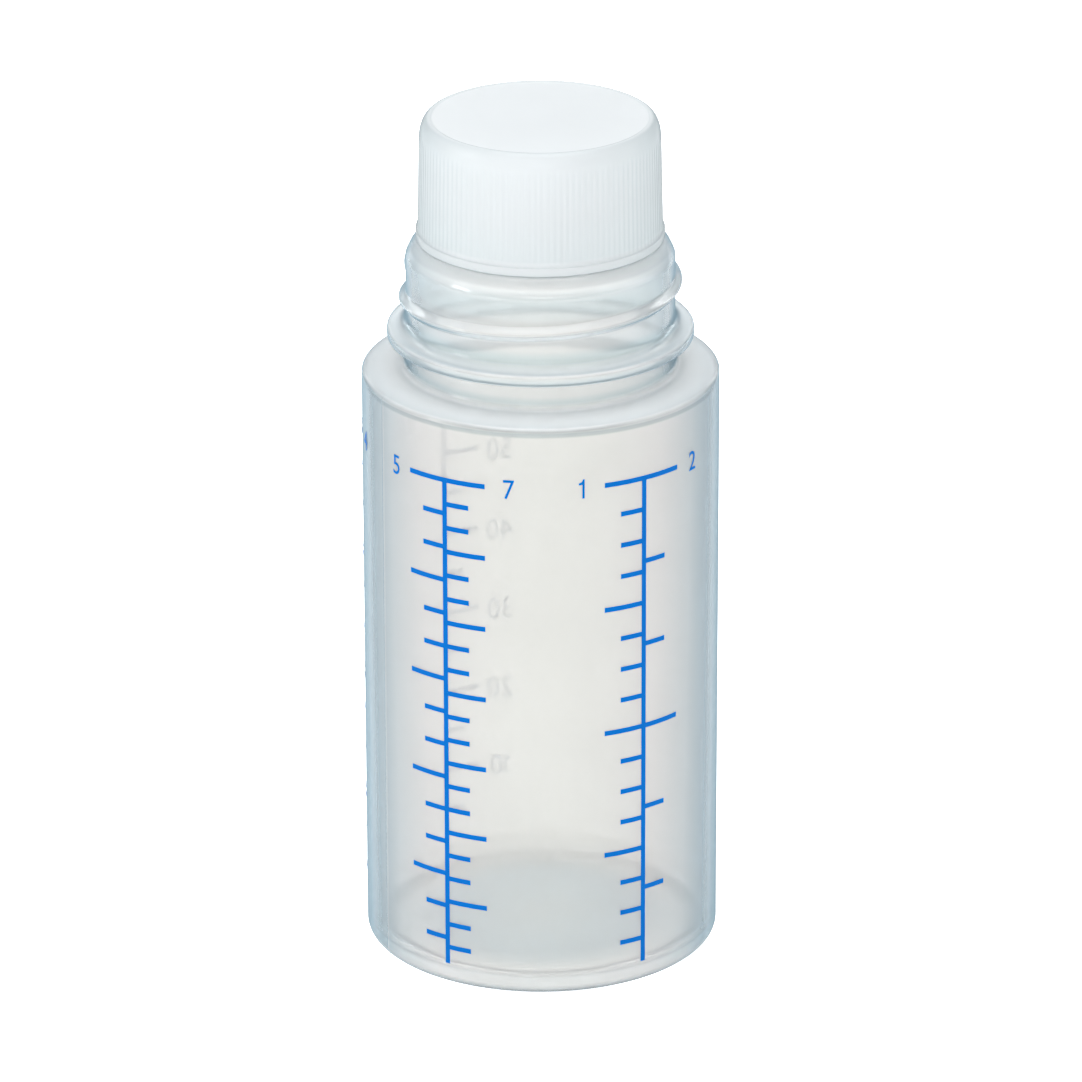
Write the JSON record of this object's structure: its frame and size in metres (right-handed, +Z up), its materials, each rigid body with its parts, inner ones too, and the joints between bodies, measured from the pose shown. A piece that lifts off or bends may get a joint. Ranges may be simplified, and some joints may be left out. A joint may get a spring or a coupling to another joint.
{
  "type": "dosing bottle",
  "caption": "Small cylindrical dosing bottle in translucent white plastic with printed blue dose scales, a wide ridged neck and a fine-ribbed screw cap.",
  "frame": {"origin": "centre of the foot, on the surface the bottle stands on", "axes": "+Z up along the bottle's axis, -Y towards the front with the two dose scales, +X to the right"},
  "size_m": [0.0381, 0.038, 0.0927],
  "materials": {
    "bottle_plastic": "translucent, satin, blow moulded",
    "cap_plastic": "translucent, satin, injection moulded",
    "disc_foam": "matt",
    "blue_ink": "screen print"
  },
  "bodies": {
    "bottle_body": {"bottle": "bottle_plastic", "dose_scale_left": "blue_ink", "dose_scale_right": "blue_ink", "dose_scale_side": "blue_ink", "volume_scale": "blue_ink"},
    "disc_body": {"sealing_disc": "disc_foam"},
    "cap_body": {"cap": "cap_plastic"}
  },
  "joints": [
    {"name": "cap_rise", "type": "slide", "parent": "bottle_body", "child": "disc_body", "axis": [0, 0, 1], "range_m": [0, 0.012]},
    {"name": "cap_turn", "type": "hinge", "parent": "disc_body", "child": "cap_body", "pos_m": [0, 0, 0.0792], "axis": [0, 0, 1], "range_deg": [0, 1080]}
  ],
  "couplings": [
    {"joint": "cap_rise", "follows": "cap_turn", "m_per_rad": 0.00063662}
  ]
}
